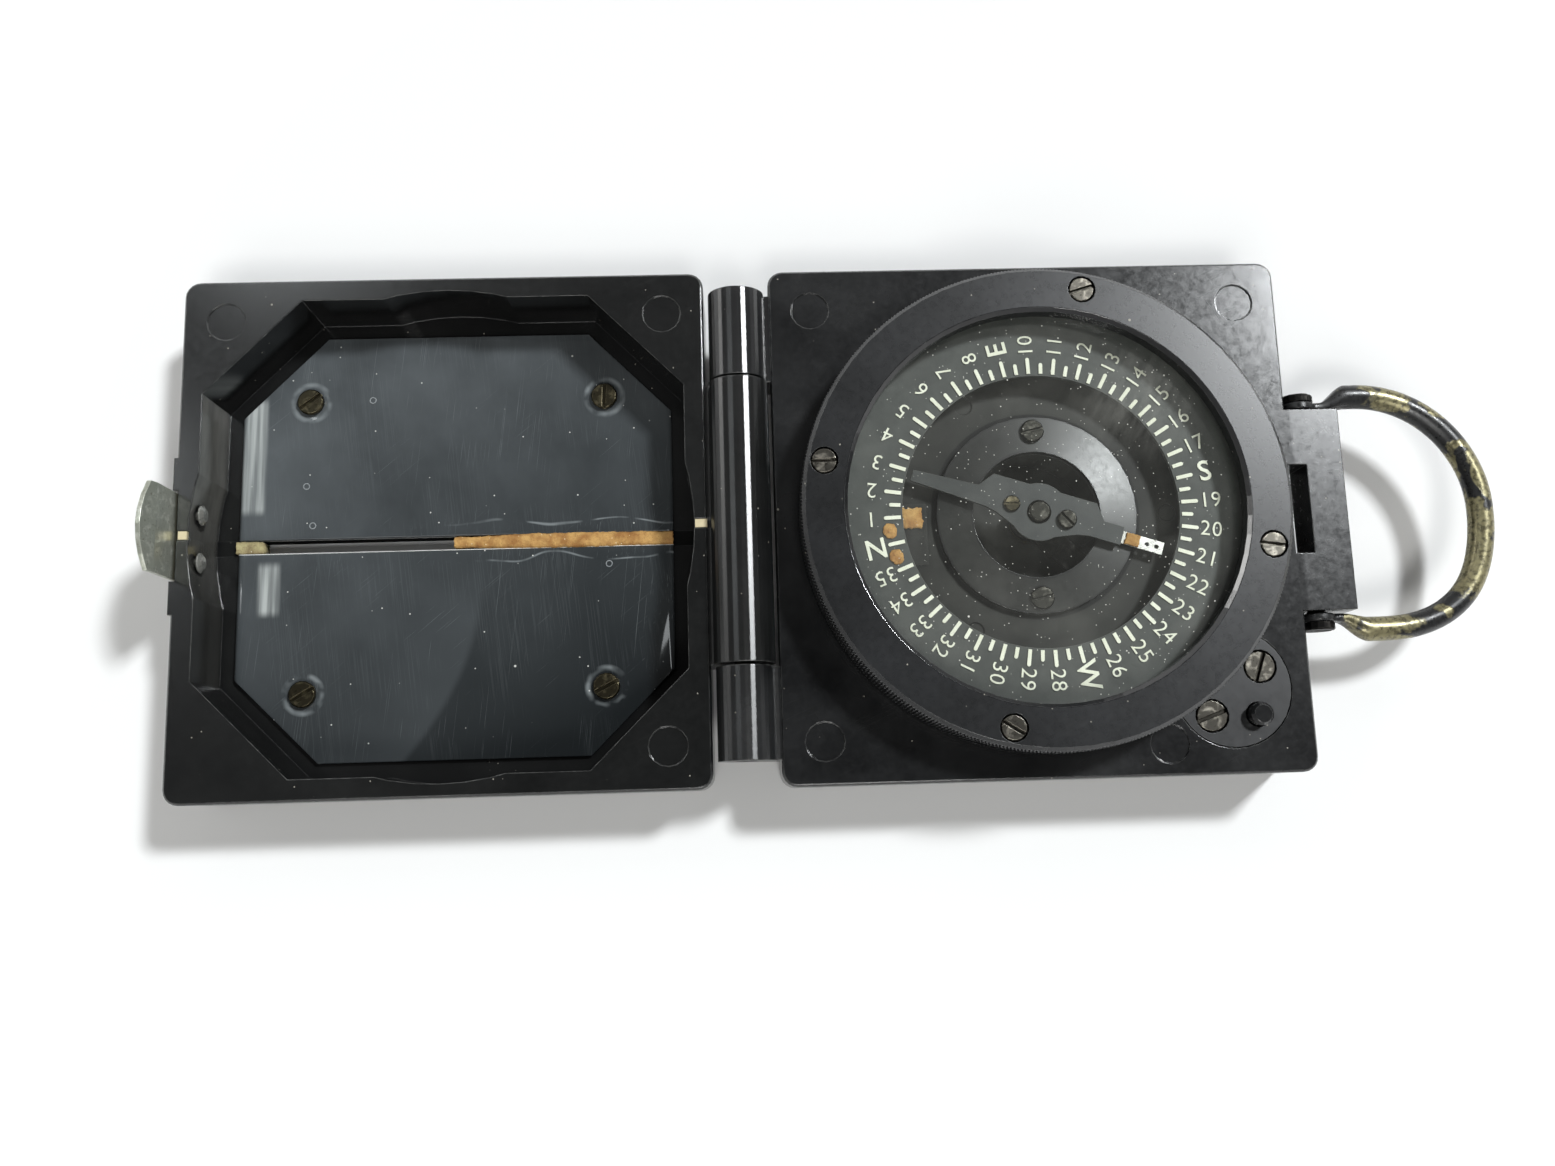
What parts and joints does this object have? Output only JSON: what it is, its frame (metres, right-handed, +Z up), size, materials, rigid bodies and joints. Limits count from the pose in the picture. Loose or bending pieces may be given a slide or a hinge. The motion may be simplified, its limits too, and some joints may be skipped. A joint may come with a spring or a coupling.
{
  "type": "folding sighting compass",
  "caption": "Square black folding field compass, open flat: turning bezel with dial and glass, needle with a lid-worked lock, sighting lid, spring catch and thumb ring.",
  "frame": {"origin": "on the underside of the base, below the needle pivot, in the plane that the opened compass lies on", "axes": "+X along the opened compass from the lid towards the thumb ring, +Y towards the back edge in the picture, +Z up out of the dial"},
  "size_m": [0.1939, 0.076, 0.022],
  "materials": {
    "bakelite": "satin moulded black phenolic plastic with worn edges",
    "gloss_bakelite": "polished black phenolic plastic",
    "dark_steel": "blackened steel, rubbed bright on the slots",
    "brass": "dull brass",
    "nickel": "worn nickel plate",
    "lacquered_brass": "black lacquer worn to brass on the outer curve",
    "dial": "matt grey-black with pale figures",
    "needle_black": "dark grey-green lacquer",
    "silver": "bare bright metal",
    "compound": "aged luminous compound, brown and granular",
    "cream": "aged cream filling",
    "glass": "clear glass with dust",
    "celluloid": "glossy hazy sheet over black, finely scratched"
  },
  "bodies": {
    "base": {"base_case": "bakelite", "hinge_pin": "dark_steel", "bezel_keeper": "brass", "centre_plate": "bakelite", "plate_screw_1": "dark_steel", "plate_screw_2": "dark_steel", "pivot_post": "brass", "lever_pin": "dark_steel", "lock_disc": "bakelite", "lock_screw_1": "dark_steel", "lock_screw_2": "dark_steel", "plunger_spring": "dark_steel", "index_patch": "compound", "index_cover": "glass", "ring_screw_1": "dark_steel", "ring_screw_2": "dark_steel"},
    "bezel": {"bezel_ring": "bakelite", "bezel_cover": "bakelite", "dial_ring": "dial", "dial_dot_1": "compound", "dial_dot_2": "compound", "glass": "glass", "bezel_screw_1": "dark_steel", "bezel_screw_2": "dark_steel", "bezel_screw_3": "dark_steel", "bezel_screw_4": "dark_steel"},
    "plunger": {"lock_plunger": "gloss_bakelite"},
    "lever": {"lift_lever": "brass"},
    "collar": {"lift_collar": "brass"},
    "needle": {"needle_blade": "needle_black", "needle_cap": "brass", "needle_tip": "silver", "needle_patch": "compound", "needle_screw_brass": "brass", "needle_screw_steel": "dark_steel"},
    "lid": {"lid_shell": "bakelite", "celluloid_back": "celluloid", "celluloid_front": "celluloid", "lid_screw_1": "brass", "lid_screw_2": "brass", "lid_screw_3": "brass", "lid_screw_4": "brass", "compound_strip": "compound", "slit_plug": "compound", "rim_mark_end": "cream", "rim_mark_hinge": "cream", "catch_rivet_1": "nickel", "catch_rivet_2": "nickel"},
    "catch": {"catch_spring": "nickel"},
    "thumb_ring": {"thumb_ring": "lacquered_brass"}
  },
  "joints": [
    {"name": "lid_hinge", "type": "hinge", "parent": "base", "child": "lid", "pos_m": [-0.0428, 0, 0.01315], "axis": [0, 1, 0], "range_deg": [0, 180]},
    {"name": "bezel_turn", "type": "hinge", "parent": "base", "child": "bezel", "pos_m": [0, 0, 0.013], "axis": [0, 0, 1], "continuous": true},
    {"name": "plunger_press", "type": "slide", "parent": "base", "child": "plunger", "axis": [0, 0, -1], "range_m": [0, 0.002], "deforming": ["plunger_spring"]},
    {"name": "lever_rock", "type": "hinge", "parent": "base", "child": "lever", "pos_m": [0.00847, -0.00843, 0.0084], "axis": [0.7053, 0.7089, 0], "range_deg": [0, 3.8]},
    {"name": "collar_lift", "type": "slide", "parent": "base", "child": "collar", "axis": [0, 0, 1], "range_m": [0, 0.0008]},
    {"name": "needle_swing", "type": "hinge", "parent": "collar", "child": "needle", "pos_m": [0, 0, 0.0148], "axis": [0, 0, 1], "continuous": true},
    {"name": "catch_flex", "type": "hinge", "parent": "lid", "child": "catch", "pos_m": [-0.1238, 0, 0.01], "axis": [0, -1, 0], "range_deg": [0, 3], "stiffness_Nm_per_rad": 0.02},
    {"name": "ring_swing", "type": "hinge", "parent": "base", "child": "thumb_ring", "pos_m": [0.041, 0, 0.01], "axis": [0, -1, 0], "range_deg": [-90, 90]}
  ],
  "couplings": [
    {"joint": "plunger_press", "follows": "lid_hinge", "m_per_rad": 0.0006366},
    {"joint": "lever_rock", "follows": "lid_hinge", "ratio": 0.021089},
    {"joint": "collar_lift", "follows": "lid_hinge", "m_per_rad": 0.0002515}
  ]
}
